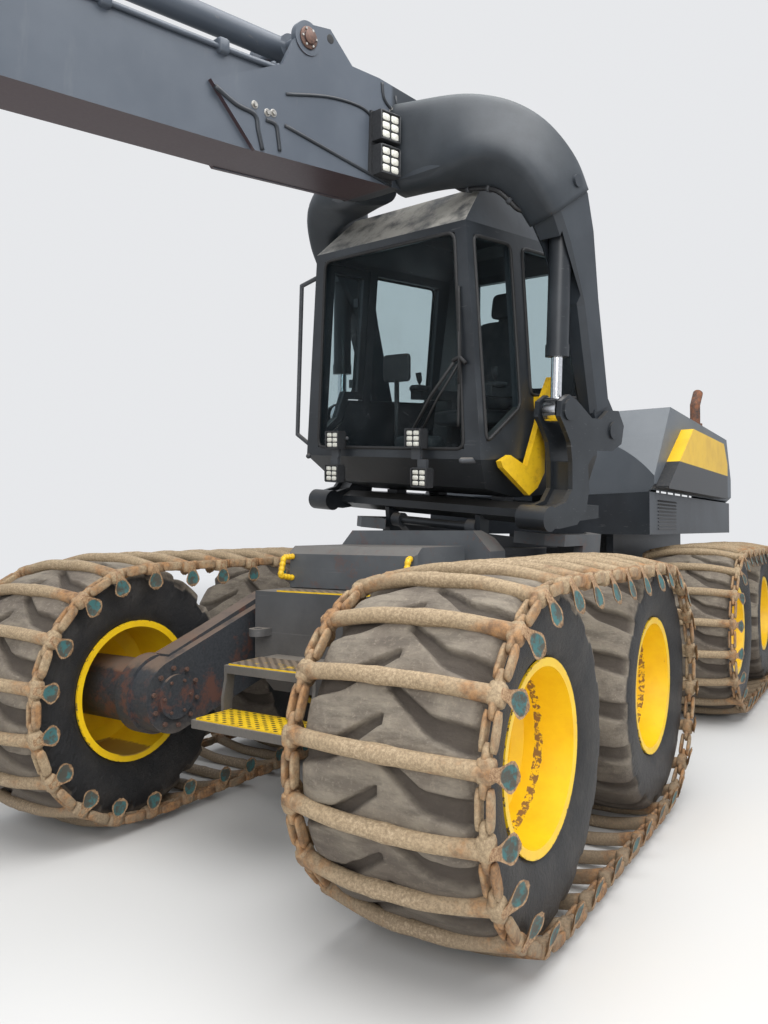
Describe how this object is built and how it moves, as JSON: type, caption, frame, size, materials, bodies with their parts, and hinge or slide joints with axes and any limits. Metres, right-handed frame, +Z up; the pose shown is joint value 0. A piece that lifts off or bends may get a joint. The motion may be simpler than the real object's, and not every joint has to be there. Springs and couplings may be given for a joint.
{
  "type": "forestry harvester",
  "caption": "Wheeled forest harvester with bogie tracks, a slewing cab, a forked boom over the cab and a hanging harvester head.",
  "frame": {"origin": "centre of the bounding box, on the ground", "axes": "+X is the machine's front, +Y its left, +Z up"},
  "size_m": [12.3042, 3.7234, 4.2917],
  "materials": {
    "tyre": "worn black rubber under dried mud",
    "rim_paint": "yellow paint, chipped, with a ring of brown mud",
    "track_steel": "bare steel, muddy and rusty",
    "glass": "clear cab glass",
    "seat_cloth": "dark woven seat cloth",
    "cab_plastic": "dark grained plastic",
    "yellow_paint": "yellow paint, scuffed",
    "hood_paint": "dark grey satin paint, dusty",
    "rod_chrome": "polished cylinder rod",
    "rusty_steel": "rusty steel pipe",
    "dark_blue_paint": "near black satin paint",
    "dark_grey_paint": "dark grey paint with mud and rusty edges"
  },
  "bodies": {
    "chassis": {"front_frame": "dark_grey_paint", "front_storage_box": "dark_grey_paint", "tall_storage_box": "dark_grey_paint", "front_steps": "dark_grey_paint", "treads_and_grips": "yellow_paint", "middle_frame": "dark_grey_paint", "slew_cover": "dark_grey_paint", "steering_yoke": "dark_grey_paint", "front_rims": "rim_paint", "front_tyres": "tyre", "front_left_bogie_case": "dark_grey_paint", "front_left_track": "track_steel", "front_right_bogie_case": "dark_grey_paint", "front_right_track": "track_steel"},
    "rear_chassis": {"rear_frame": "dark_grey_paint", "engine_block": "dark_grey_paint", "rear_side_panels": "dark_grey_paint", "rear_rims": "rim_paint", "rear_tyres": "tyre", "rear_left_bogie_case": "dark_grey_paint", "rear_left_track": "track_steel", "rear_right_bogie_case": "dark_grey_paint", "rear_right_track": "track_steel"},
    "hood_body": {"hood": "hood_paint", "side_pods": "yellow_paint", "exhaust": "rusty_steel"},
    "crane_base": {"turntable": "dark_blue_paint", "cradle": "dark_blue_paint", "cab_floor": "dark_blue_paint", "cab_frame": "dark_blue_paint", "cab_roof": "dark_blue_paint", "windscreen": "glass", "side_windows": "glass", "seat": "seat_cloth", "arm_consoles": "cab_plastic", "cab_guard": "yellow_paint", "front_rail": "dark_grey_paint", "work_lamps": "cab_plastic"},
    "door": {"cab_door": "dark_blue_paint", "door_glass": "glass"},
    "boom": {"main_boom": "dark_blue_paint", "boom_lamps": "cab_plastic"},
    "lift_barrel": {"lift_barrels": "dark_blue_paint"},
    "lift_rod": {"lift_rods": "rod_chrome"},
    "fold_barrel_body": {"fold_barrel": "dark_blue_paint"},
    "fold_rod_body": {"fold_rod": "rod_chrome"},
    "arm": {"outer_boom": "dark_blue_paint"},
    "arm_extension": {"extension": "rod_chrome"},
    "link": {"hanger": "dark_grey_paint"},
    "rotator_top": {"rotator_hanger": "dark_grey_paint"},
    "rotator_body": {"rotator": "dark_grey_paint", "head_yoke": "dark_grey_paint"},
    "head": {"head_frame": "dark_grey_paint"},
    "left_roller": {"left_feed_roller": "rusty_steel"},
    "right_roller": {"right_feed_roller": "rusty_steel"},
    "left_knife_body": {"left_knife": "rusty_steel"},
    "right_knife_body": {"right_knife": "rusty_steel"}
  },
  "joints": [
    {"name": "steering", "type": "hinge", "parent": "chassis", "child": "rear_chassis", "pos_m": [-1.9841, 0.3177, 0.97], "axis": [0, 0, 1], "range_deg": [-40, 40]},
    {"name": "hood_hinge", "type": "hinge", "parent": "rear_chassis", "child": "hood_body", "pos_m": [-6.1281, 0.3177, 1.84], "axis": [0, -1, 0], "range_deg": [0, 45]},
    {"name": "slew", "type": "hinge", "parent": "chassis", "child": "crane_base", "pos_m": [-1.5641, 0.3177, 1.45], "axis": [0, 0.0847, 0.9964], "range_deg": [-127.84, 152.16]},
    {"name": "door_hinge", "type": "hinge", "parent": "crane_base", "child": "door", "pos_m": [-1.18262, -0.57319, 2.13322], "axis": [-0.1182, -0.1548, -0.9808], "range_deg": [0, 48]},
    {"name": "lift", "type": "hinge", "parent": "crane_base", "child": "boom", "pos_m": [-1.48211, 0.37005, 2.27428], "axis": [-0.2106, -0.974, 0.0828], "range_deg": [0, 50]},
    {"name": "lift_barrel_pivot", "type": "hinge", "parent": "boom", "child": "lift_barrel", "pos_m": [-0.85555, 0.35094, 3.64302], "axis": [-0.2106, -0.974, 0.0828], "range_deg": [-4.2, 0.5]},
    {"name": "lift_rod_slide", "type": "slide", "parent": "lift_barrel", "child": "lift_rod", "axis": [-0.0838, -0.0664, -0.9943], "range_m": [-0.002, 0.48]},
    {"name": "fold", "type": "hinge", "parent": "boom", "child": "arm", "pos_m": [3.15071, -0.5283, 3.49166], "axis": [-0.2106, -0.974, 0.0828], "range_deg": [-62, 28]},
    {"name": "fold_barrel_pivot", "type": "hinge", "parent": "boom", "child": "fold_barrel_body", "pos_m": [0.45157, 0.11244, 4.16252], "axis": [-0.2106, -0.974, 0.0828], "range_deg": [-4, 4]},
    {"name": "fold_rod_slide", "type": "slide", "parent": "fold_barrel_body", "child": "fold_rod_body", "axis": [0.9723, -0.2176, -0.0858], "range_m": [-0.35, 0.6]},
    {"name": "extend", "type": "slide", "parent": "arm", "child": "arm_extension", "axis": [0.8647, -0.2252, -0.4489], "range_m": [0, 1.5]},
    {"name": "hanger_swing", "type": "hinge", "parent": "arm_extension", "child": "link", "pos_m": [5.83092, -1.22813, 2.07772], "axis": [0.2106, 0.974, -0.0828], "range_deg": [-80, 40]},
    {"name": "hanger_sway", "type": "hinge", "parent": "link", "child": "rotator_top", "pos_m": [5.82794, -1.24189, 1.9083], "axis": [0.9774, -0.2114, 0], "range_deg": [-25, 25]},
    {"name": "rotator_spin", "type": "hinge", "parent": "rotator_top", "child": "rotator_body", "pos_m": [5.82794, -1.24189, 1.9083], "axis": [0, 0, 1], "continuous": true},
    {"name": "head_tilt", "type": "hinge", "parent": "rotator_body", "child": "head", "pos_m": [5.82794, -1.24189, 1.3083], "axis": [0.2114, 0.9774, 0], "range_deg": [-90, 10]},
    {"name": "left_roller_spin", "type": "hinge", "parent": "head", "child": "left_roller", "pos_m": [5.91249, -0.85093, 0.8883], "axis": [0.9774, -0.2114, 0], "continuous": true},
    {"name": "right_roller_spin", "type": "hinge", "parent": "head", "child": "right_roller", "pos_m": [5.7434, -1.63286, 0.8883], "axis": [0.9774, -0.2114, 0], "continuous": true},
    {"name": "left_knife_hinge", "type": "hinge", "parent": "head", "child": "left_knife_body", "pos_m": [5.76518, -1.04007, 0.5683], "axis": [0, 0, 1], "range_deg": [0, 40]},
    {"name": "right_knife_hinge", "type": "hinge", "parent": "head", "child": "right_knife_body", "pos_m": [5.6874, -1.39976, 0.5683], "axis": [0, 0, -1], "range_deg": [0, 40]}
  ],
  "couplings": [
    {"joint": "lift_barrel_pivot", "follows": "lift", "ratio": -0.03618},
    {"joint": "lift_rod_slide", "follows": "lift", "m_per_rad": 0.51911},
    {"joint": "fold_barrel_pivot", "follows": "fold", "ratio": 0.04862},
    {"joint": "fold_rod_slide", "follows": "fold", "m_per_rad": -0.38563}
  ]
}
